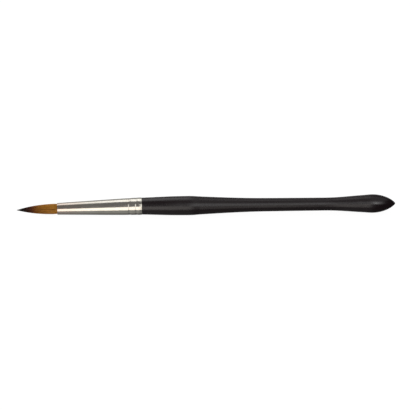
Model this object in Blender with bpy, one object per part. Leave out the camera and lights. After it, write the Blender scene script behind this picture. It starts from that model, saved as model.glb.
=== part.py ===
"""A fine detail brush, lying along X on the plane Z = 0 with the point of its hair at -X.

A tuft of tied hair is set in resin in the mouth of a conical metal ferrule, and the ferrule is
glued and crimped on the tenon of a turned wooden handle. All sizes are in metres.
"""

import math

import bmesh
import bpy
from mathutils import Matrix, Vector

MM = 0.001

# Room left between two neighbouring pieces
FIT_GAP = 0.3 * MM

# How many flats a turned piece has around it
SIDES = 32

# Ferrule: a seamless metal cone, open at both ends
FERRULE_LENGTH = 42.6 * MM
FERRULE_MOUTH_DIA = 5.85 * MM
FERRULE_REAR_DIA = 8.85 * MM
FERRULE_WALL = 0.3 * MM
# The ferrule sits a little off the handle's line, so the brush lies with its point drooping
HEAD_LEAN = math.radians(1.4)

# Crimps rolled into the ferrule near its rear end
CRIMP_COUNT = 2
CRIMP_SETBACK = 2.8 * MM
CRIMP_PITCH = 3.5 * MM
CRIMP_WIDTH = 1.5 * MM
CRIMP_DEPTH = 0.1 * MM

# Hair in front of the ferrule: thick as the mouth's bore, then drawn to a point
TUFT_LENGTH = 20.7 * MM
# Power of the curve from mouth to point: 1 is a plain cone, more is a fuller belly
TUFT_FULLNESS = 2.25
# The hair springs out to its full thickness over this length in front of the mouth
TUFT_SWELL = 1.4 * MM

# Single hairs stand on rings of triangles, 6 more on each ring than on the one inside it
STRAND_RINGS = 8
# Spacing of the hairs at the point, as a share of their spacing at the mouth
STRAND_PINCH = 0.2
# Thickness of a hair as a share of the room that it has
STRAND_FILL = 0.86
# Places along the tuft where the hairs bend, as shares of its length
STRAND_BENDS = (0.4, 0.7, 0.88)
# Shortest last piece of a hair, as a share of the tuft's length
STRAND_LAST = 0.06

# Root of the tuft, inside the ferrule, measured back from the mouth
ROOT_START = 0.3 * MM
ROOT_COLLAR_END = 4.0 * MM
ROOT_WAIST_START = 5.5 * MM
ROOT_END = 12.0 * MM

# Thread wound round the waist of the root
THREAD_DIA = 0.4 * MM
THREAD_TURNS = 4
THREAD_PITCH = 0.85 * MM
THREAD_START = 6.1 * MM
THREAD_POINTS_PER_TURN = 24

# Resin cup that holds the end of the root
RESIN_LAP = 1.8 * MM
RESIN_BACK = 2.5 * MM

# Tenon of the handle, inside the ferrule
TENON_LENGTH = 14.0 * MM
TENON_NOSE_LENGTH = 3.0 * MM
TENON_NOSE_DROP = 1.4 * MM
# Glue cup round the nose of the tenon
GLUE_POOL = 0.8 * MM
GLUE_EDGE = 0.2 * MM

# Handle behind the ferrule: lengths one after the other from the shoulder
SHOULDER_TO_BELLY = 19.8 * MM
BELLY_LENGTH = 4.8 * MM
BELLY_TO_GRIP = 4.0 * MM
GRIP_TO_NECK = 31.6 * MM
NECK_TO_WAIST = 31.8 * MM
WAIST_TO_FLARE = 19.2 * MM
FLARE_TO_BULGE = 4.0 * MM
BULGE_TO_END = 11.6 * MM
# Diameters at those places; the ferrule stands proud of the shoulder all round
FERRULE_PROUD = 0.18 * MM
BELLY_DIA = 9.62 * MM
GRIP_DIA = 9.08 * MM
NECK_DIA = 6.76 * MM
WAIST_DIA = 6.5 * MM
FLARE_DIA = 8.76 * MM
BULGE_DIA = 9.27 * MM
# Powers of the curve from the bulge to the rounded point of the handle
END_SHOULDER = 2.0
END_POINT = 0.76

# Longest steps along a curved outline
BODY_STEP = 4.0 * MM
END_STEPS = 9

# Places on the ferrule's own line: 0 at the handle's shoulder, the hair toward minus
REAR_RADIUS = FERRULE_REAR_DIA / 2
MOUTH_RADIUS = FERRULE_MOUTH_DIA / 2
FERRULE_REAR = -(FIT_GAP + REAR_RADIUS * math.sin(abs(HEAD_LEAN)))
FERRULE_MOUTH = FERRULE_REAR - FERRULE_LENGTH
TENON_FRONT = FERRULE_REAR - TENON_LENGTH
TUFT_RADIUS = MOUTH_RADIUS - FERRULE_WALL
TUFT_POINT = FERRULE_MOUTH - TUFT_LENGTH

# Places on the handle's line: 0 at the shoulder
HANDLE_STATIONS = []
station = 0.0
for step, diameter in (
    (0.0, FERRULE_REAR_DIA - 2 * FERRULE_PROUD),
    (SHOULDER_TO_BELLY, BELLY_DIA),
    (BELLY_LENGTH, BELLY_DIA),
    (BELLY_TO_GRIP, GRIP_DIA),
    (GRIP_TO_NECK, NECK_DIA),
    (NECK_TO_WAIST, WAIST_DIA),
    (WAIST_TO_FLARE, FLARE_DIA),
    (FLARE_TO_BULGE, BULGE_DIA),
):
    station += step
    HANDLE_STATIONS.append((station, diameter / 2))
HANDLE_END = station + BULGE_TO_END

# The brush rests on its thickest flat, and its length is centred on the origin
AXIS_HEIGHT = max(BELLY_DIA, BULGE_DIA, FERRULE_REAR_DIA) / 2 * math.cos(math.pi / SIDES)
SHOULDER_X = -(TUFT_POINT * math.cos(HEAD_LEAN) + HANDLE_END) / 2


def clear_scene():
    for item in list(bpy.data.objects):
        bpy.data.objects.remove(item, do_unlink=True)


def make_material(name, colour, roughness, metallic=0.0):
    material = bpy.data.materials.new(name)
    material.use_nodes = True
    shader = material.node_tree.nodes["Principled BSDF"]
    shader.inputs["Base Color"].default_value = (*colour, 1.0)
    shader.inputs["Roughness"].default_value = roughness
    shader.inputs["Metallic"].default_value = metallic
    material.diffuse_color = (*colour, 1.0)
    return material


def add_holder(name, parent, place, droop=0.0):
    """An empty that carries the pieces under it, with its -X end drooping."""
    holder = bpy.data.objects.new(name, None)
    bpy.context.collection.objects.link(holder)
    holder.parent = parent
    holder.location = place
    holder.rotation_euler = (0.0, -droop, 0.0)
    return holder


def add_piece(name, data, material, parent):
    piece = bpy.data.objects.new(name, data)
    bpy.context.collection.objects.link(piece)
    data.materials.append(material)
    piece.parent = parent
    return piece


def finish_mesh(name, bm, smooth=True):
    """Close the work on a bmesh: faces outward, smooth where it is round."""
    bmesh.ops.recalc_face_normals(bm, faces=bm.faces)
    mesh = bpy.data.meshes.new(name)
    for face in bm.faces:
        face.smooth = smooth
    bm.to_mesh(mesh)
    bm.free()
    return mesh


def spin_outline(outline, closed):
    """Turn an outline of (place, radius) pairs about the X axis, with a flat facing down."""
    bm = bmesh.new()
    start = -math.pi / 2 + math.pi / SIDES
    verts = [bm.verts.new((x, r * math.cos(start), r * math.sin(start))) for x, r in outline]
    pairs = list(zip(verts, verts[1:]))
    if closed:
        pairs.append((verts[-1], verts[0]))
    edges = [bm.edges.new(pair) for pair in pairs]
    bmesh.ops.spin(
        bm,
        geom=verts + edges,
        cent=(0.0, 0.0, 0.0),
        axis=(1.0, 0.0, 0.0),
        angle=2 * math.pi,
        steps=SIDES,
        use_merge=True,
    )
    bmesh.ops.remove_doubles(bm, verts=bm.verts, dist=0.001 * MM)
    return bm


def curve_through(stations):
    """A smooth radius through (place, radius) pairs that never swings past them."""
    places = [place for place, radius in stations]
    radii = [radius for place, radius in stations]
    spans = [b - a for a, b in zip(places, places[1:])]
    rises = [(b - a) / span for a, b, span in zip(radii, radii[1:], spans)]
    slopes = [rises[0]]
    for span, next_span, rise, next_rise in zip(spans, spans[1:], rises, rises[1:]):
        if rise * next_rise <= 0:
            slopes.append(0.0)
            continue
        near = 2 * next_span + span
        far = next_span + 2 * span
        slopes.append((near + far) / (near / rise + far / next_rise))
    slopes.append(0.0)

    def radius_at(place):
        index = 0
        while index < len(spans) - 1 and place > places[index + 1]:
            index += 1
        span = spans[index]
        t = (place - places[index]) / span
        return (
            radii[index] * (1 + 2 * t) * (1 - t) ** 2
            + slopes[index] * span * t * (1 - t) ** 2
            + radii[index + 1] * t * t * (3 - 2 * t)
            + slopes[index + 1] * span * t * t * (t - 1)
        )

    return radius_at


def crimp_centres():
    return [FERRULE_REAR - CRIMP_SETBACK - i * CRIMP_PITCH for i in range(CRIMP_COUNT)]


def ferrule_radius(x):
    """Outside radius of the ferrule, with its crimps."""
    x = min(max(x, FERRULE_MOUTH), FERRULE_REAR)
    radius = MOUTH_RADIUS + (REAR_RADIUS - MOUTH_RADIUS) * (x - FERRULE_MOUTH) / FERRULE_LENGTH
    for centre in crimp_centres():
        offset = (x - centre) / CRIMP_WIDTH
        if abs(offset) < 0.5:
            radius -= CRIMP_DEPTH * math.cos(math.pi * offset) ** 2
    return radius


def bore_radius(x):
    return ferrule_radius(x) - FERRULE_WALL


def fit_radius(x):
    """Radius of a piece that fits in the ferrule."""
    return bore_radius(x) - FIT_GAP


def crimp_places():
    """Places along the ferrule where the crimps need points, from front to rear."""
    shares = (-0.5, -0.25, 0.0, 0.25, 0.5)
    return sorted(c + share * CRIMP_WIDTH for c in crimp_centres() for share in shares)


def build_ferrule(parent, material):
    places = [FERRULE_MOUTH] + crimp_places() + [FERRULE_REAR]
    outline = [(x, ferrule_radius(x)) for x in places]
    outline += [(x, bore_radius(x)) for x in reversed(places)]
    mesh = finish_mesh("ferrule", spin_outline(outline, closed=True))
    return add_piece("ferrule", mesh, material, parent)


def nose_radius(x):
    """Radius of the tapered nose at the front of the tenon."""
    share = (x - TENON_FRONT) / TENON_NOSE_LENGTH
    return fit_radius(x) - TENON_NOSE_DROP * (1 - share)


def handle_outline():
    tenon_full = TENON_FRONT + TENON_NOSE_LENGTH
    outline = [(TENON_FRONT, 0.0), (TENON_FRONT, nose_radius(TENON_FRONT))]
    inner_places = [tenon_full] + [x for x in crimp_places() if x > tenon_full] + [0.0]
    outline += [(x, fit_radius(x)) for x in inner_places]

    radius_at = curve_through(HANDLE_STATIONS)
    outline.append(HANDLE_STATIONS[0])
    for (start, _), (end, _) in zip(HANDLE_STATIONS, HANDLE_STATIONS[1:]):
        steps = max(1, math.ceil((end - start) / BODY_STEP))
        if (start, end) == (HANDLE_STATIONS[1][0], HANDLE_STATIONS[2][0]):
            steps = 1
        for i in range(1, steps + 1):
            place = start + (end - start) * i / steps
            outline.append((place, radius_at(place)))

    bulge_place, bulge_radius = HANDLE_STATIONS[-1]
    for i in range(1, END_STEPS):
        share = math.sin(math.pi / 2 * i / END_STEPS)
        radius = bulge_radius * (1 - share**END_SHOULDER) ** END_POINT
        outline.append((bulge_place + BULGE_TO_END * share, radius))
    outline.append((HANDLE_END, 0.0))
    return outline


def build_handle(parent, material):
    """Turned handle; its tenon is on the ferrule's line, so the crimps press into it."""
    bm = spin_outline(handle_outline(), closed=False)
    tenon = [vert for vert in bm.verts if vert.co.x < -0.01 * MM]
    lean = Matrix.Rotation(-HEAD_LEAN, 3, "Y")
    bmesh.ops.rotate(bm, verts=tenon, cent=(0.0, 0.0, 0.0), matrix=lean)
    return add_piece("handle", finish_mesh("handle", bm), material, parent)


def build_glue(parent, material):
    """Glue cup squeezed round the nose of the tenon."""
    cup_floor = TENON_FRONT - FIT_GAP
    cup_front = cup_floor - GLUE_POOL
    room = TENON_NOSE_DROP - FIT_GAP
    lap = TENON_NOSE_LENGTH * (room - GLUE_EDGE) / TENON_NOSE_DROP
    edge = TENON_FRONT + lap
    outline = [
        (cup_front, 0.0),
        (cup_front, fit_radius(cup_front)),
        (edge, fit_radius(edge)),
        (edge, nose_radius(edge) + FIT_GAP),
        (cup_floor, nose_radius(TENON_FRONT) + FIT_GAP),
        (cup_floor, 0.0),
    ]
    mesh = finish_mesh("tenon_glue", spin_outline(outline, closed=False))
    return add_piece("tenon_glue", mesh, material, parent)


def waist_radius():
    """The root is drawn in just enough for the thread to pass inside the bore."""
    return fit_radius(FERRULE_MOUTH + THREAD_START) - THREAD_DIA - FIT_GAP


def build_resin(parent, material):
    """Resin cup cast round the end of the hair root."""
    inside = waist_radius() + FIT_GAP
    cup_front = FERRULE_MOUTH + ROOT_END - RESIN_LAP
    cup_floor = FERRULE_MOUTH + ROOT_END + FIT_GAP
    back = cup_floor + RESIN_BACK
    outline = [
        (back, 0.0),
        (back, fit_radius(back)),
        (cup_front, fit_radius(cup_front)),
        (cup_front, inside),
        (cup_floor, inside),
        (cup_floor, 0.0),
    ]
    mesh = finish_mesh("resin_plug", spin_outline(outline, closed=False))
    return add_piece("resin_plug", mesh, material, parent)


def build_thread(parent, material):
    """One unbroken thread wound round the waist of the root."""
    radius = waist_radius() + FIT_GAP + THREAD_DIA / 2
    count = THREAD_TURNS * THREAD_POINTS_PER_TURN + 1
    points = []
    for i in range(count):
        turns = i / THREAD_POINTS_PER_TURN
        angle = 2 * math.pi * turns
        along = FERRULE_MOUTH + THREAD_START + turns * THREAD_PITCH
        points.append(Vector((along, radius * math.cos(angle), radius * math.sin(angle))))

    curve = bpy.data.curves.new("binding_thread", "CURVE")
    curve.dimensions = "3D"
    curve.bevel_depth = THREAD_DIA / 2
    curve.bevel_resolution = 1
    curve.use_fill_caps = True
    spline = curve.splines.new("POLY")
    spline.points.add(count - 1)
    for slot, point in zip(spline.points, points):
        slot.co = (*point, 1.0)
        slot.radius = 1.0
    spline.use_smooth = True

    half_turn = THREAD_POINTS_PER_TURN // 2
    apart = [
        (points[i] - points[j]).length
        for i in range(count)
        for j in range(i + half_turn, count)
    ]
    print(f"binding_thread: least gap to itself {(min(apart) - THREAD_DIA) / MM:.3f} mm")
    return add_piece("binding_thread", curve, material, parent)


def tuft_radius(reach):
    """Outside radius of the tuft at a distance in front of the mouth."""
    return TUFT_RADIUS * (1 - (reach / TUFT_LENGTH) ** TUFT_FULLNESS)


def strand_spread(reach):
    """Radius that the whole pattern of hairs would have there, if all were that long."""
    return STRAND_PINCH * TUFT_RADIUS + (1 - STRAND_PINCH) * tuft_radius(reach)


def strand_reach(cell):
    """Distance from the mouth to the end of the hair that stands in a cell."""
    innermost = 2 / (3 * STRAND_RINGS)
    share = max(0.0, cell.length - innermost) / (1 - innermost)
    width = STRAND_PINCH * share / (1 - (1 - STRAND_PINCH) * share)
    return TUFT_LENGTH * (1 - width) ** (1 / TUFT_FULLNESS)


def add_strand_cells(bm, unit, x, radius):
    """Disc of triangles, one a hair; each corner keeps its place on a disc of radius 1."""
    rings = []
    for ring in range(STRAND_RINGS + 1):
        row = []
        for i in range(max(1, 6 * ring)):
            angle = 2 * math.pi * i / max(1, 6 * ring)
            spot = Vector((0.0, math.cos(angle), math.sin(angle))) * ring / STRAND_RINGS
            vert = bm.verts.new(Vector((x, 0.0, 0.0)) + spot * radius)
            vert[unit] = spot
            row.append(vert)
        rings.append(row)
    for ring in range(1, STRAND_RINGS + 1):
        inner, outer = rings[ring - 1], rings[ring]
        for side in range(6):
            for i in range(ring):
                a = outer[side * ring + i]
                b = outer[(side * ring + i + 1) % len(outer)]
                c = inner[(side * (ring - 1) + i) % len(inner)]
                bm.faces.new((c, a, b))
                if i < ring - 1:
                    d = inner[(side * (ring - 1) + i + 1) % len(inner)]
                    bm.faces.new((c, b, d))
    return list(bm.faces)


def cell_middle(verts, unit):
    middle = Vector((0.0, 0.0, 0.0))
    for vert in verts:
        middle += vert[unit]
    return middle / len(verts)


def end_strands(bm, unit, faces):
    """Draw each hair's last face out to a point."""
    tips = bmesh.ops.poke(bm, faces=faces)["verts"]
    for tip in tips:
        cell = cell_middle([edge.other_vert(tip) for edge in tip.link_edges], unit)
        reach = strand_reach(cell)
        tip.co = Vector((FERRULE_MOUTH - reach, 0.0, 0.0)) + cell * strand_spread(reach)


def grow_strands(bm, unit, faces, reach):
    """Carry the hairs on to a distance in front of the mouth, each inside its own cell."""
    spread = strand_spread(reach)
    grown = bmesh.ops.extrude_discrete_faces(bm, faces=faces)["faces"]
    for face in grown:
        cell = cell_middle(face.verts, unit)
        for vert in face.verts:
            spot = cell + (vert[unit] - cell) * STRAND_FILL
            vert.co = Vector((FERRULE_MOUTH - reach, 0.0, 0.0)) + spot * spread
    return grown


def add_root(bm, rim):
    """Carry the rim of the disc back into the ferrule and close it."""
    collar = fit_radius(FERRULE_MOUTH)
    waist = waist_radius()
    for depth, radius in (
        (ROOT_COLLAR_END, collar),
        (ROOT_WAIST_START, waist),
        (ROOT_END, waist),
    ):
        grown = bmesh.ops.extrude_edge_only(bm, edges=rim)["geom"]
        rim = [item for item in grown if isinstance(item, bmesh.types.BMEdge)]
        for vert in [item for item in grown if isinstance(item, bmesh.types.BMVert)]:
            out = Vector((0.0, vert.co.y, vert.co.z)).normalized()
            vert.co = Vector((FERRULE_MOUTH + depth, 0.0, 0.0)) + out * radius
    bmesh.ops.contextual_create(bm, geom=rim)


def build_tuft(parent, material):
    """Hairs of differing lengths, none touching its neighbour, on one tied root."""
    bm = bmesh.new()
    unit = bm.verts.layers.float_vector.new("cell")
    start = FERRULE_MOUTH + ROOT_START
    growing = add_strand_cells(bm, unit, start, fit_radius(FERRULE_MOUTH))
    strands = len(growing)
    add_root(bm, [edge for edge in bm.edges if edge.is_boundary])

    for reach in [TUFT_SWELL] + [TUFT_LENGTH * share for share in STRAND_BENDS]:
        needed = reach + TUFT_LENGTH * STRAND_LAST
        ended = [f for f in growing if strand_reach(cell_middle(f.verts, unit)) < needed]
        growing = [f for f in growing if strand_reach(cell_middle(f.verts, unit)) >= needed]
        end_strands(bm, unit, ended)
        growing = grow_strands(bm, unit, growing, reach)
    end_strands(bm, unit, growing)
    print(f"hair_tuft: {strands} hairs")
    return add_piece("hair_tuft", finish_mesh("hair_tuft", bm, smooth=False), material, parent)


def main():
    clear_scene()
    hair = make_material("golden_brown_hair", (0.230, 0.105, 0.022), 0.5)
    thread = make_material("waxed_thread", (0.640, 0.580, 0.440), 0.75)
    resin = make_material("amber_resin", (0.480, 0.270, 0.070), 0.25)
    nickel = make_material("nickel_plate", (0.660, 0.640, 0.600), 0.25, metallic=1.0)
    glue = make_material("pale_glue", (0.700, 0.640, 0.480), 0.55)
    lacquer = make_material("black_lacquered_wood", (0.012, 0.012, 0.013), 0.38)

    brush = add_holder("brush", None, (SHOULDER_X, 0.0, AXIS_HEIGHT))
    head = add_holder("head", brush, (0.0, 0.0, 0.0), HEAD_LEAN)
    build_tuft(head, hair)
    build_thread(head, thread)
    build_resin(head, resin)
    build_ferrule(head, nickel)
    build_glue(head, glue)
    build_handle(brush, lacquer)


main()
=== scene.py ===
import math
import random

import bmesh
import bpy
from mathutils import Matrix, Vector


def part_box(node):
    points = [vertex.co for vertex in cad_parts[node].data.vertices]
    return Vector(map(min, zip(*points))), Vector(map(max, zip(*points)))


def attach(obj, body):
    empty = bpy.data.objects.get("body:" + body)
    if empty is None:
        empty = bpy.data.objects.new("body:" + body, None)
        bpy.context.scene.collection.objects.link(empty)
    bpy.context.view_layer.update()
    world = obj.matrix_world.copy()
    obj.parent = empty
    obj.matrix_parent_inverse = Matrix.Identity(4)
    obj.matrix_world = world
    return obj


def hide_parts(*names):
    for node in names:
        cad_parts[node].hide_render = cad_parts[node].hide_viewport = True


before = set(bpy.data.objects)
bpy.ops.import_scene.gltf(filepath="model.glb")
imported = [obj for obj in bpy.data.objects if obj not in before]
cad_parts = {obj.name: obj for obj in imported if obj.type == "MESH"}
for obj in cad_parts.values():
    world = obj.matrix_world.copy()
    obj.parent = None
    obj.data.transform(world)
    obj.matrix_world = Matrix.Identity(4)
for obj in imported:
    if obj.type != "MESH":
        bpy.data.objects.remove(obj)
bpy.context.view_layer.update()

MM = 0.001
SEED = 20
X_AXIS = Vector((1.0, 0.0, 0.0))
Y_AXIS = Vector((0.0, 1.0, 0.0))
Z_AXIS = Vector((0.0, 0.0, 1.0))

# The photo: its side, and the pixels of the hair's point and of the handle's end
PHOTO_SIDE = 410
PHOTO_POINT = Vector((16.2, 210.15))
PHOTO_END = Vector((395.3, 203.25))
VIEW_ELEVATION = math.radians(30)
LENS = 400.0
SENSOR = 36.0
CLIP_START = 0.01

# Reading the solids: points nearer than this along a line belong to one ring, and points this
# near to an end of the ferrule belong to that end
RING_GAP = 0.02 * MM
END_BAND = 0.6 * MM

# Turned pieces: points round them, longest step along their outline, and what counts as one place
AROUND = 128
OUTLINE_STEP = 0.5 * MM
SAME_PLACE = 0.002 * MM

# Ferrule: rounding of its ends, and its rear end rolled in against the wood
FERRULE_LIP = 0.06 * MM
LIP_STEPS = 8
ROLL_LENGTH = 2.6 * MM
ROLL_DEPTH = 0.13 * MM
# Share of the solid's crimp depth that shows, and where in the last step an extra ring lies
CRIMP_SHARE = 0.6
EDGE_HOLD = 0.08
# Length of the painted brown reflection of the hair, behind the hair, and its strength at the mouth
HAIR_REFLECTION_LENGTH = 16.0 * MM
HAIR_REFLECTION_SHARE = 0.8

# Handle: seam at the ferrule, rounding of the shoulder, and the length over which the shoulder
# turns from the ferrule's line to the handle's
SEAM = 0.05 * MM
SHOULDER_EDGE = 0.08 * MM
EDGE_STEPS = 5
SHOULDER_TURN = 4.0 * MM

# Hair: power of the tuft's outline, number, steps and thickness of the hairs
TUFT_FULLNESS = 2.25
HAIRS_OUTSIDE = 1100
HAIRS_INSIDE = 500
HAIR_SIDES = 3
HAIR_STEPS = 11
HAIR_THICK = 0.15 * MM
THICK_SPREAD = (0.8, 1.2)
# Hairs start inside the mouth, a little drawn in, and fill out in front of it
HAIR_START = -2.0 * MM
MOUTH_SQUEEZE = 0.12 * MM
FILL_OUT = 1.6 * MM
# Loss of thickness toward a hair's own end, and share left where the tuft comes to its point
HAIR_TAPER = 0.86
TAPER_POWER = 2.2
HAIR_PINCH = 0.35
# Spread of the outer hairs: turn from one to the next and its jitter, place between the tuft's
# line and its outside, how much shorter than the tuft they end, tone and sway as mean and deviation
GOLDEN_TURN = 2 * math.pi * 0.61803399
TURN_JITTER = 0.02
OUTER_PLACE = (0.90, 1.0)
OUTER_SHORTER = 0.5
OUTER_TONE = (0.5, 0.17)
OUTER_SWAY = (0, 0.10)
# The same for the inner hairs, which lie anywhere round the line; their darker tone is painted shade
INNER_PLACE = 0.9
INNER_SHORTER = 0.12
INNER_SHADED_TONE = (0.4, 0.15)
INNER_SWAY = (0, 0.06)
# Angle of the sine that a hair sways along
SWAY_ANGLE = 2.2

# Core under the hairs, so that no light shows through, with a darker tone as painted shade
CORE_STEPS = 24
CORE_REACH = 0.97
CORE_SHARE = 0.86
CORE_TIP = 0.12 * MM
CORE_SHADED_TONE = 0.2

# Thread wound round the root of the hair
THREAD_TURNS = 4
THREAD_POINTS = 48
THREAD_SIDES = 10

# Soft lights: name, angles about the brush counted from the camera downward in degrees, reach
# along X, distance, radiance and colour
WHITE = (1.0, 1.0, 1.0)
WARM = (1.0, 0.945, 0.89)
SOFT_LIGHTS = (
    ("key_front_left", (8, 51), (-0.36, 0.03), 0.60, 1.65, WARM),
    ("top_far_left", (-105, -55), (-0.80, -0.38), 0.60, 3.4, WHITE),
    ("strip_top_left", (-118, -76), (-0.60, -0.115), 0.60, 1.0, WHITE),
    ("strip_top_middle", (-114, -70), (-0.115, 0.01), 0.60, 1.4, WHITE),
    ("key_front_right", (-26, 10), (-0.01, 0.50), 0.60, 1.4, WHITE),
    ("spot_front_right", (-12, 5), (0.18, 0.29), 0.59, 4.8, WHITE),
    ("key_front_middle", (10, 50), (0.03, 0.09), 0.60, 0.3, WHITE),
    ("under_left", (50, 110), (-0.60, 0.05), 0.60, 0.15, WHITE),
    ("back", (-165, -122), (-0.60, 0.60), 0.60, 0.22, WHITE),
    ("fill_top_right", (-100, -26), (0.02, 0.60), 0.60, 0.45, WHITE),
)
# Glow of the room to the left and to the right, and the directions between which it changes
GLOW_LEFT, GLOW_RIGHT = 0.165, 0.075
GLOW_FROM, GLOW_TO = -0.08, 0.05

# Floor: half its side, its cuts, how far it lies under the brush, its grey and its own light
FLOOR_HALF = 4.0
FLOOR_CUTS = 8
FLOOR_DROP = 0.06 * MM
FLOOR_GREY = 0.12
FLOOR_LIGHT = 0.96


def node_points(name):
    """The corners of a CAD node, each once."""
    found = {}
    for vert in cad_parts[name].data.vertices:
        found.setdefault(tuple(round(value, 6) for value in vert.co), vert.co.copy())
    return list(found.values())


def mean(points):
    total = Vector((0.0, 0.0, 0.0))
    for point in points:
        total += point
    return total / len(points)


def rings_along(points, start, along):
    """(place, least radius, most radius) of each ring of points about a line."""
    spots = []
    for point in points:
        place = (point - start).dot(along)
        spots.append((place, (point - start - along * place).length))
    spots.sort()
    rings = [[spots[0]]]
    for spot in spots[1:]:
        if spot[0] - rings[-1][-1][0] > RING_GAP:
            rings.append([])
        rings[-1].append(spot)
    found = []
    for ring in rings:
        radii = [radius for place, radius in ring]
        found.append((sum(place for place, radius in ring) / len(ring), min(radii), max(radii)))
    return found


def smooth_outline(points, step):
    """A finer outline through (place, radius) points: a centripetal Catmull-Rom curve."""
    points = [Vector(p) for p in points]
    first, second = points[0], points[1]
    last, before_last = points[-1], points[-2]
    # An outline that ends on the line goes on as its own mirror image
    closes = last.y < SAME_PLACE
    after = Vector((before_last.x, -before_last.y)) if closes else last * 2 - before_last
    guide = [first * 2 - second] + points + [after]
    fine = [first]
    for a, b, c, d in zip(guide, guide[1:], guide[2:], guide[3:]):
        t1 = (b - a).length ** 0.5
        t2 = t1 + (c - b).length ** 0.5
        t3 = t2 + (d - c).length ** 0.5
        count = max(1, math.ceil((c - b).length / step))
        for i in range(1, count + 1):
            t = t1 + (t2 - t1) * i / count
            ab = a.lerp(b, t / t1)
            bc = b.lerp(c, (t - t1) / (t2 - t1))
            cd = c.lerp(d, (t - t2) / (t3 - t2))
            abc = ab.lerp(bc, t / t2)
            bcd = bc.lerp(cd, (t - t1) / (t3 - t1))
            fine.append(abc.lerp(bcd, (t - t1) / (t2 - t1)))
    return fine


# The ferrule's line runs from the middle of its rear end to the middle of its mouth
ferrule_points = node_points("ferrule")
front_x = min(p.x for p in ferrule_points)
rear_x = max(p.x for p in ferrule_points)
mouth = mean([p for p in ferrule_points if p.x < front_x + END_BAND])
rear = mean([p for p in ferrule_points if p.x > rear_x - END_BAND])
to_hair = (mouth - rear).normalized()
head_up = Y_AXIS.cross(to_hair)
droop = math.asin(-to_hair.z)
ferrule_length = (mouth - rear).length
ferrule_rings = rings_along(ferrule_points, rear, to_hair)
rear_radius = ferrule_rings[0][2]
mouth_radius = ferrule_rings[-1][2]
wall = rear_radius - ferrule_rings[0][1]

tuft_points = node_points("hair_tuft")
tuft_length = max((p - mouth).dot(to_hair) for p in tuft_points)
tuft_rings = rings_along(tuft_points, mouth, to_hair)
tuft_radius = mouth_radius - wall
tuft_point = mouth + to_hair * tuft_length

# The handle's line is level, and its tenon lies on the ferrule's
handle_low, handle_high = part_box("handle")
axis_z = (handle_low.z + handle_high.z) / 2
handle_points = node_points("handle")
handle_rings = rings_along([p for p in handle_points if p.x > rear_x], Z_AXIS * axis_z, X_AXIS)
tenon_rings = rings_along([p for p in handle_points if p.x < rear_x], rear, to_hair)
shoulder_radius = handle_rings[0][2]
handle_end = X_AXIS * handle_rings[-1][0] + Z_AXIS * axis_z


# Materials

def new_material(name):
    """A material with its node tree and its shader."""
    material = bpy.data.materials.new(name)
    material.use_nodes = True
    tree = material.node_tree
    return material, tree, tree.nodes["Principled BSDF"]


def part_coordinates(tree, stretch=(1.0, 1.0, 1.0)):
    """Coordinates in the part's own frame, stretched along its axes."""
    source = tree.nodes.new("ShaderNodeTexCoord")
    mapping = tree.nodes.new("ShaderNodeMapping")
    mapping.inputs["Scale"].default_value = stretch
    tree.links.new(source.outputs["Object"], mapping.inputs["Vector"])
    return mapping.outputs["Vector"]


def noise(tree, scale, detail, roughness=0.5, stretch=(1.0, 1.0, 1.0)):
    """Noise fixed to the part's own frame."""
    texture = tree.nodes.new("ShaderNodeTexNoise")
    texture.inputs["Scale"].default_value = scale
    texture.inputs["Detail"].default_value = detail
    texture.inputs["Roughness"].default_value = roughness
    tree.links.new(part_coordinates(tree, stretch), texture.inputs["Vector"])
    return texture.outputs["Fac"]


def ramp(tree, value, stops):
    """Colours or greys over a value: stops are (place, colour)."""
    node = tree.nodes.new("ShaderNodeValToRGB")
    elements = node.color_ramp.elements
    while len(elements) < len(stops):
        elements.new(0.5)
    for element, (place, colour) in zip(elements, stops):
        if isinstance(colour, float):
            colour = (colour, colour, colour)
        element.position = place
        element.color = (*colour, 1.0)
    tree.links.new(value, node.inputs["Fac"])
    return node.outputs["Color"]


def between(tree, value, low, high, at_low, at_high):
    """A value that runs from at_low to at_high while another runs from low to high."""
    node = tree.nodes.new("ShaderNodeMapRange")
    node.inputs["From Min"].default_value = low
    node.inputs["From Max"].default_value = high
    node.inputs["To Min"].default_value = at_low
    node.inputs["To Max"].default_value = at_high
    tree.links.new(value, node.inputs["Value"])
    return node.outputs["Result"]


def mix_colour(tree, share, a, b, mode="MIX"):
    """Mix two colours; each input is a socket or a constant."""
    node = tree.nodes.new("ShaderNodeMix")
    node.data_type = "RGBA"
    node.blend_type = mode
    for name, value in (("Factor", share), ("A", a), ("B", b)):
        socket = next(s for s in node.inputs if s.name == name and s.enabled)
        if isinstance(value, bpy.types.NodeSocket):
            tree.links.new(value, socket)
        elif isinstance(value, float):
            socket.default_value = value
        else:
            socket.default_value = (*value, 1.0)
    return next(s for s in node.outputs if s.name == "Result" and s.enabled)


def bump(tree, shader, heights):
    """One bump on top of the other: heights are (value, strength, distance)."""
    normal = None
    for value, strength, distance in heights:
        node = tree.nodes.new("ShaderNodeBump")
        node.inputs["Strength"].default_value = strength
        node.inputs["Distance"].default_value = distance
        tree.links.new(value, node.inputs["Height"])
        if normal:
            tree.links.new(normal, node.inputs["Normal"])
        normal = node.outputs["Normal"]
    tree.links.new(normal, shader.inputs["Normal"])


def lacquer_material():
    """Satin black lacquer over turned wood, with faint grain and orange peel."""
    material, tree, shader = new_material("satin_black_lacquer")
    grain = noise(tree, scale=700.0, detail=6.0, roughness=0.6, stretch=(0.06, 1.0, 1.0))
    cloud = noise(tree, scale=160.0, detail=3.0)
    peel = noise(tree, scale=1400.0, detail=2.0)
    dark, light = (0.0055, 0.0010, 0.0022), (0.0085, 0.0035, 0.0047)
    colour = ramp(tree, grain, [(0.3, dark), (0.7, light)])
    tree.links.new(colour, shader.inputs["Base Color"])
    tree.links.new(ramp(tree, cloud, [(0.3, 0.25), (0.7, 0.31)]), shader.inputs["Roughness"])
    bump(tree, shader, [(grain, 0.12, 0.02 * MM), (peel, 0.10, 0.02 * MM)])
    return material


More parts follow.
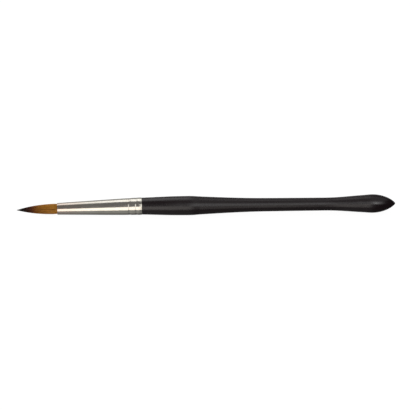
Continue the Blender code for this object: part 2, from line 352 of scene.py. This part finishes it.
def nickel_material():
    """Bright nickel plate: fine lines round it, faint specks, a painted brown hair reflection at the
    mouth.
    """
    material, tree, shader = new_material("bright_nickel_plate")
    lines = noise(tree, scale=2600.0, detail=3.0, roughness=0.6, stretch=(1.0, 0.03, 0.03))
    cloud = noise(tree, scale=220.0, detail=4.0)
    specks = ramp(tree, noise(tree, scale=3000.0, detail=2.0), [(0.66, 0.0), (0.74, 0.35)])
    bright, dull = (0.70, 0.675, 0.605), (0.65, 0.620, 0.545)
    hair_reflection, speck = (0.70, 0.56, 0.48), (0.42, 0.39, 0.35)
    place = tree.nodes.new("ShaderNodeSeparateXYZ")
    tree.links.new(part_coordinates(tree), place.inputs["Vector"])
    # Painted brown reflection of the hair: strongest at the mouth, fading to nothing further back
    hair_reflection_end = front_x + HAIR_REFLECTION_LENGTH
    hair_reflection_mask = between(tree, place.outputs["X"], front_x, hair_reflection_end, HAIR_REFLECTION_SHARE, 0.0)
    clean = ramp(tree, cloud, [(0.35, bright), (0.65, dull)])
    colour = mix_colour(tree, specks, mix_colour(tree, hair_reflection_mask, clean, hair_reflection), speck)
    tree.links.new(colour, shader.inputs["Base Color"])
    shader.inputs["Metallic"].default_value = 1.0
    tree.links.new(ramp(tree, lines, [(0.3, 0.15), (0.7, 0.22)]), shader.inputs["Roughness"])
    bump(tree, shader, [(lines, 0.06, 0.01 * MM)])
    return material


def hair_material():
    """Natural hair, golden brown at the ferrule and near black at the point."""
    material, tree, shader = new_material("golden_brown_hair")
    along = tree.nodes.new("ShaderNodeAttribute")
    along.attribute_name = "along"
    tone = tree.nodes.new("ShaderNodeAttribute")
    tone.attribute_name = "tone"
    colour = ramp(tree, along.outputs["Fac"], [
        (0.00, (0.545, 0.238, 0.020)),
        (0.28, (0.515, 0.212, 0.016)),
        (0.42, (0.440, 0.172, 0.011)),
        (0.52, (0.330, 0.116, 0.009)),
        (0.60, (0.205, 0.055, 0.008)),
        (0.67, (0.095, 0.023, 0.006)),
        (0.72, (0.062, 0.014, 0.005)),
        (0.79, (0.034, 0.009, 0.005)),
        (0.85, (0.009, 0.005, 0.004)),
        (1.00, (0.006, 0.005, 0.004)),
    ])
    shade = ramp(tree, tone.outputs["Fac"], [
        (0.0, (0.55, 0.55, 0.50)),
        (0.6, (1.00, 1.00, 1.00)),
        (1.0, (1.45, 1.50, 1.70)),
    ])
    tree.links.new(mix_colour(tree, 1.0, colour, shade, "MULTIPLY"), shader.inputs["Base Color"])
    streak = noise(tree, scale=3000.0, detail=2.0, stretch=(0.1, 1.0, 1.0))
    tree.links.new(ramp(tree, streak, [(0.3, 0.38), (0.7, 0.52)]), shader.inputs["Roughness"])
    shader.inputs["Specular IOR Level"].default_value = 0.35
    return material


def mottled_material(name, low, high, roughness, scale):
    """Cloudy colour and roughness, for the pieces inside the ferrule."""
    material, tree, shader = new_material(name)
    cloud = noise(tree, scale, detail=5.0)
    tree.links.new(ramp(tree, cloud, [(0.3, low), (0.7, high)]), shader.inputs["Base Color"])
    rough = ramp(tree, cloud, [(0.3, roughness * 0.85), (0.7, roughness * 1.15)])
    tree.links.new(rough, shader.inputs["Roughness"])
    bump(tree, shader, [(cloud, 0.15, 0.03 * MM)])
    return material


# Pieces

def finish_piece(name, bm, material, node):
    """Turn a bmesh into a smooth piece that stands for a CAD node."""
    bmesh.ops.recalc_face_normals(bm, faces=bm.faces)
    for face in bm.faces:
        face.smooth = True
    mesh = bpy.data.meshes.new(name)
    bm.to_mesh(mesh)
    bm.free()
    mesh.materials.append(material)
    piece = bpy.data.objects.new(name, mesh)
    bpy.context.scene.collection.objects.link(piece)
    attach(piece, "root")
    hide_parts(node)


def add_circle(bm, centre, across, up, radius, count):
    """Corners round a centre, in the plane of two directions."""
    corners = []
    for i in range(count):
        angle = 2 * math.pi * i / count
        corners.append(bm.verts.new(centre + (across * math.cos(angle) + up * math.sin(angle)) * radius))
    return corners


def add_ring(bm, centre, up, radius):
    """A ring of a turned piece, or its centre alone where the radius is nothing."""
    if radius < SAME_PLACE:
        return [bm.verts.new(centre)]
    return add_circle(bm, centre, Y_AXIS, up, radius, AROUND)


def join_rings(bm, a, b):
    """Faces between two rings of corners, or between a ring and a point."""
    count = max(len(a), len(b))
    for i in range(count):
        j = (i + 1) % count
        corners = [a[i % len(a)], a[j % len(a)], b[j % len(b)], b[i % len(b)]]
        bm.faces.new(list(dict.fromkeys(corners)))


def loft(bm, rings, closed=False):
    """Faces from each ring to the next, and back to the first where closed."""
    for a, b in zip(rings, rings[1:]):
        join_rings(bm, a, b)
    if closed:
        join_rings(bm, rings[-1], rings[0])


def rolled_edge(start, end, bulge):
    """Half-round edge over the end of a tube's wall, from one side of it to the other."""
    middle, half = (start + end) / 2, (start - end) / 2
    points = []
    for i in range(1, LIP_STEPS):
        angle = math.pi * i / LIP_STEPS
        points.append(middle + half * math.cos(angle) + Vector((bulge * math.sin(angle), 0.0)))
    return points


def make_ferrule():
    """Seamless ferrule with rounded ends and its crimps, on the solid's own line."""
    first, last = FERRULE_LIP, ferrule_length - FERRULE_LIP
    rings = []
    for place, least, most in ferrule_rings:
        straight = rear_radius + (mouth_radius - rear_radius) * place / ferrule_length
        rings.append((min(max(place, first), last), straight + (most - straight) * CRIMP_SHARE))
    outer = []
    for p in smooth_outline(rings, OUTLINE_STEP / 2):
        rolled = max(0.0, 1 - p.x / ROLL_LENGTH) ** 2
        outer.append(Vector((p.x, p.y - ROLL_DEPTH * rolled)))
    # A ring close to each end keeps the shading straight up to the lips
    outer.insert(1, outer[0].lerp(outer[1], EDGE_HOLD))
    outer.insert(-1, outer[-1].lerp(outer[-2], EDGE_HOLD))
    inner = [Vector((p.x, p.y - wall)) for p in reversed(outer)]
    outline = outer + rolled_edge(outer[-1], inner[0], FERRULE_LIP)
    outline += inner + rolled_edge(inner[-1], outer[0], -FERRULE_LIP)
    bm = bmesh.new()
    loft(bm, [add_ring(bm, rear + to_hair * p.x, head_up, p.y) for p in outline], closed=True)
    bmesh.ops.remove_doubles(bm, verts=bm.verts, dist=SAME_PLACE)
    finish_piece("ferrule_sleeve", bm, nickel_material(), "ferrule")


def make_handle():
    """Turned handle; its tenon and its shoulder's edge are on the ferrule's line."""
    bm = bmesh.new()
    tenon = [(place, most) for place, least, most in reversed(tenon_rings)]
    # A point closes the tenon's nose, and its rear reaches the seam
    tenon.insert(0, (tenon[0][0], 0.0))
    tenon.append((-SEAM, tenon[-1][1]))
    rings = [add_ring(bm, rear + to_hair * place, head_up, radius) for place, radius in tenon]

    shoulder = rear.x + SEAM
    body = []
    for i in range(EDGE_STEPS + 1):
        angle = math.pi / 2 * i / EDGE_STEPS
        place = shoulder + SHOULDER_EDGE * (1 - math.cos(angle))
        body.append(Vector((place, shoulder_radius - SHOULDER_EDGE * (1 - math.sin(angle)))))
    body += smooth_outline([(place, most) for place, least, most in handle_rings], OUTLINE_STEP)
    for p in body:
        share = max(0.0, 1 - (p.x - shoulder) / SHOULDER_TURN) ** 2
        centre = Vector((p.x, 0.0, axis_z + (rear.z - axis_z) * share))
        up = Matrix.Rotation(-droop * share, 3, "Y") @ Z_AXIS
        rings.append(add_ring(bm, centre, up, p.y))
    loft(bm, rings)
    bmesh.ops.remove_doubles(bm, verts=bm.verts, dist=SAME_PLACE)
    finish_piece("turned_handle", bm, lacquer_material(), "handle")


def tuft_envelope(reach):
    """Outside radius of the tuft at a distance in front of the mouth."""
    share = min(1.0, max(0.0, reach / tuft_length))
    return tuft_radius * (1 - share**TUFT_FULLNESS)


def paint(bm, corners, reach, tone):
    """Note how far along the tuft some corners lie, and the tone of their hair."""
    along_layer = bm.verts.layers.float["along"]
    tone_layer = bm.verts.layers.float["tone"]
    for corner in corners:
        corner[along_layer] = max(0.0, reach / tuft_length)
        corner[tone_layer] = tone


def add_hair(bm, angle, share, reach_end, thick, tone, sway):
    """One tapered hair, from inside the mouth to its own end."""
    previous = None
    for step in range(HAIR_STEPS + 1):
        t = step / HAIR_STEPS
        reach = HAIR_START + (reach_end - HAIR_START) * t
        pinch = HAIR_PINCH + (1 - HAIR_PINCH) * tuft_envelope(reach) / tuft_radius
        width = thick * pinch * (1 - HAIR_TAPER * t**TAPER_POWER)
        filled = min(1.0, max(0.0, reach / FILL_OUT))
        room = min(tuft_radius - MOUTH_SQUEEZE * (1 - filled), tuft_envelope(reach))
        turn = angle + sway * math.sin(SWAY_ANGLE * t)
        out = Y_AXIS * math.cos(turn) + head_up * math.sin(turn)
        centre = mouth + to_hair * reach + out * max(0.0, share * room - width / 2)
        if step == HAIR_STEPS:
            ring = [bm.verts.new(centre)]
        else:
            ring = add_circle(bm, centre, out, to_hair.cross(out), width / 2, HAIR_SIDES)
        paint(bm, ring, reach, tone)
        if previous:
            join_rings(bm, previous, ring)
        else:
            bm.faces.new(ring)
        previous = ring


def make_hair():
    """Fine tapered hairs round a core, drawn to a point, with the tied root behind them."""
    rng = random.Random(SEED)
    bm = bmesh.new()
    bm.verts.layers.float.new("along")
    bm.verts.layers.float.new("tone")
    for i in range(HAIRS_OUTSIDE):
        angle = GOLDEN_TURN * i + rng.uniform(-TURN_JITTER, TURN_JITTER)
        share = rng.uniform(*OUTER_PLACE)
        reach_end = tuft_length * (1 - OUTER_SHORTER * rng.random() ** 2)
        thick = HAIR_THICK * rng.uniform(*THICK_SPREAD)
        add_hair(bm, angle, share, reach_end, thick, rng.gauss(*OUTER_TONE), rng.gauss(*OUTER_SWAY))
    for i in range(HAIRS_INSIDE):
        angle = rng.uniform(0, 2 * math.pi)
        share = INNER_PLACE * rng.random() ** 0.5
        reach_end = tuft_length * (1 - INNER_SHORTER * rng.random())
        thick = HAIR_THICK * rng.uniform(*THICK_SPREAD)
        add_hair(bm, angle, share, reach_end, thick, rng.gauss(*INNER_SHADED_TONE), rng.gauss(*INNER_SWAY))

    # The tied root, closed at its rear, goes over into the core
    outline = [(place, most) for place, least, most in tuft_rings if place < HAIR_START]
    outline.insert(0, (outline[0][0], 0.0))
    for step in range(CORE_STEPS + 1):
        reach = tuft_length * CORE_REACH * step / CORE_STEPS
        share = CORE_SHARE + (1 - CORE_SHARE) * (step / CORE_STEPS) ** 3
        outline.append((reach, max(CORE_TIP, share * tuft_envelope(reach))))
    outline.append((tuft_length * CORE_REACH + CORE_TIP, 0.0))
    rings = []
    for reach, radius in outline:
        ring = add_ring(bm, mouth + to_hair * reach, head_up, radius)
        # The core's darker tone is painted shade under the hairs
        paint(bm, ring, reach, CORE_SHADED_TONE)
        rings.append(ring)
    loft(bm, rings)
    finish_piece("hair_tuft_fine", bm, hair_material(), "hair_tuft")


def make_thread():
    """The thread wound round the root of the hair."""
    points = node_points("binding_thread")
    places = [(p - mouth).dot(to_hair) for p in points]
    radii = [(p - mouth - to_hair * place).length for p, place in zip(points, places)]
    thick = max(radii) - min(radii)
    winding = (max(radii) + min(radii)) / 2
    first, last = max(places) - thick / 2, min(places) + thick / 2
    count = THREAD_TURNS * THREAD_POINTS
    bm = bmesh.new()
    rings = []
    for i in range(count + 1):
        angle = 2 * math.pi * i / THREAD_POINTS
        out = Y_AXIS * math.cos(angle) + head_up * math.sin(angle)
        centre = mouth + to_hair * (first + (last - first) * i / count) + out * winding
        rings.append(add_circle(bm, centre, out, to_hair, thick / 2, THREAD_SIDES))
    loft(bm, rings)
    bm.faces.new(rings[0])
    bm.faces.new(rings[-1])
    pale, bright = (0.60, 0.54, 0.40), (0.70, 0.64, 0.50)
    thread = mottled_material("waxed_thread", pale, bright, roughness=0.75, scale=1500.0)
    finish_piece("wound_thread", bm, thread, "binding_thread")


def dress_inner_solids():
    """Resin and glue stay as the solids they are, and get their looks."""
    amber, honey = (0.42, 0.22, 0.05), (0.52, 0.30, 0.09)
    cream, ivory = (0.66, 0.60, 0.44), (0.74, 0.68, 0.52)
    resin = mottled_material("amber_resin", amber, honey, roughness=0.25, scale=400.0)
    glue = mottled_material("pale_glue", cream, ivory, roughness=0.55, scale=500.0)
    for name, material in (("resin_plug", resin), ("tenon_glue", glue)):
        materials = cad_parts[name].data.materials
        materials.clear()
        materials.append(material)


# Studio

def add_camera():
    """A camera that sees the brush's two ends where the photo shows them."""
    up = Vector((0.0, math.sin(VIEW_ELEVATION), math.cos(VIEW_ELEVATION)))
    back = X_AXIS.cross(up)
    reach = handle_end - tuft_point
    seen = Vector((reach.dot(X_AXIS), reach.dot(up)))
    wanted = Vector((PHOTO_END.x - PHOTO_POINT.x, PHOTO_POINT.y - PHOTO_END.y))
    scale = seen.length / wanted.length
    roll = math.atan2(wanted.y, wanted.x) - math.atan2(seen.y, seen.x)
    camera_right = X_AXIS * math.cos(roll) - up * math.sin(roll)
    camera_up = X_AXIS * math.sin(roll) + up * math.cos(roll)
    middle = (PHOTO_POINT + PHOTO_END) / 2
    aim = (tuft_point + handle_end) / 2
    aim += camera_right * (PHOTO_SIDE / 2 - middle.x) * scale
    aim += camera_up * (middle.y - PHOTO_SIDE / 2) * scale

    data = bpy.data.cameras.new("photo_camera")
    data.lens = LENS
    data.sensor_width = SENSOR
    data.clip_start = CLIP_START
    camera = bpy.data.objects.new("photo_camera", data)
    bpy.context.scene.collection.objects.link(camera)
    turn = Matrix((camera_right, camera_up, back)).transposed().to_4x4()
    distance = scale * PHOTO_SIDE * LENS / SENSOR
    camera.matrix_world = Matrix.Translation(aim + back * distance) @ turn
    bpy.context.scene.camera = camera


def add_soft_light(name, angles, reach, distance, radiance, colour):
    """A soft light that faces the brush's line."""
    low, high = (math.radians(angle) for angle in angles)
    left, right = reach
    angle = VIEW_ELEVATION - (low + high) / 2
    toward = Vector((0.0, -math.cos(angle), math.sin(angle)))
    data = bpy.data.lights.new(name, "AREA")
    data.shape = "RECTANGLE"
    data.size = right - left
    data.size_y = 2 * distance * math.tan((high - low) / 2)
    data.energy = radiance * math.pi * data.size * data.size_y
    data.color = colour
    light = bpy.data.objects.new(name, data)
    bpy.context.scene.collection.objects.link(light)
    place = Vector(((left + right) / 2, 0.0, axis_z)) + toward * distance
    turn = Matrix((X_AXIS, toward.cross(X_AXIS), toward)).transposed().to_4x4()
    light.matrix_world = Matrix.Translation(place) @ turn
    light.visible_camera = False


def add_room_glow():
    """Faint light from all round, dimmer to the right."""
    world = bpy.data.worlds.new("studio")
    world.use_nodes = True
    tree = world.node_tree
    direction = tree.nodes.new("ShaderNodeTexCoord")
    parts = tree.nodes.new("ShaderNodeSeparateXYZ")
    tree.links.new(direction.outputs["Generated"], parts.inputs["Vector"])
    sideways = between(tree, parts.outputs["X"], GLOW_FROM, GLOW_TO, 0.0, 1.0)
    glow = ramp(tree, sideways, [(0.0, GLOW_LEFT), (1.0, GLOW_RIGHT)])
    tree.links.new(glow, tree.nodes["Background"].inputs["Color"])
    bpy.context.scene.world = world


def add_floor():
    """A plain pale floor, bright by its own light, on which little shadow shows."""
    bm = bmesh.new()
    bmesh.ops.create_grid(bm, x_segments=FLOOR_CUTS, y_segments=FLOOR_CUTS, size=FLOOR_HALF)
    mesh = bpy.data.meshes.new("floor")
    bm.to_mesh(mesh)
    bm.free()
    material, tree, shader = new_material("pale_floor")
    shader.inputs["Base Color"].default_value = (FLOOR_GREY, FLOOR_GREY, FLOOR_GREY, 1.0)
    shader.inputs["Roughness"].default_value = 1.0
    shader.inputs["Specular IOR Level"].default_value = 0.0
    shader.inputs["Emission Color"].default_value = (*WHITE, 1.0)
    shader.inputs["Emission Strength"].default_value = FLOOR_LIGHT
    mesh.materials.append(material)
    floor = bpy.data.objects.new("floor", mesh)
    bpy.context.scene.collection.objects.link(floor)
    floor.location.z = -FLOOR_DROP
    floor.visible_glossy = False
    floor.visible_diffuse = False
    floor.visible_shadow = False


make_ferrule()
make_handle()
make_hair()
make_thread()
dress_inner_solids()

add_camera()
for soft_light in SOFT_LIGHTS:
    add_soft_light(*soft_light)
add_room_glow()
add_floor()
bpy.context.scene.view_settings.view_transform = "Standard"
bpy.context.scene.view_settings.look = "None"
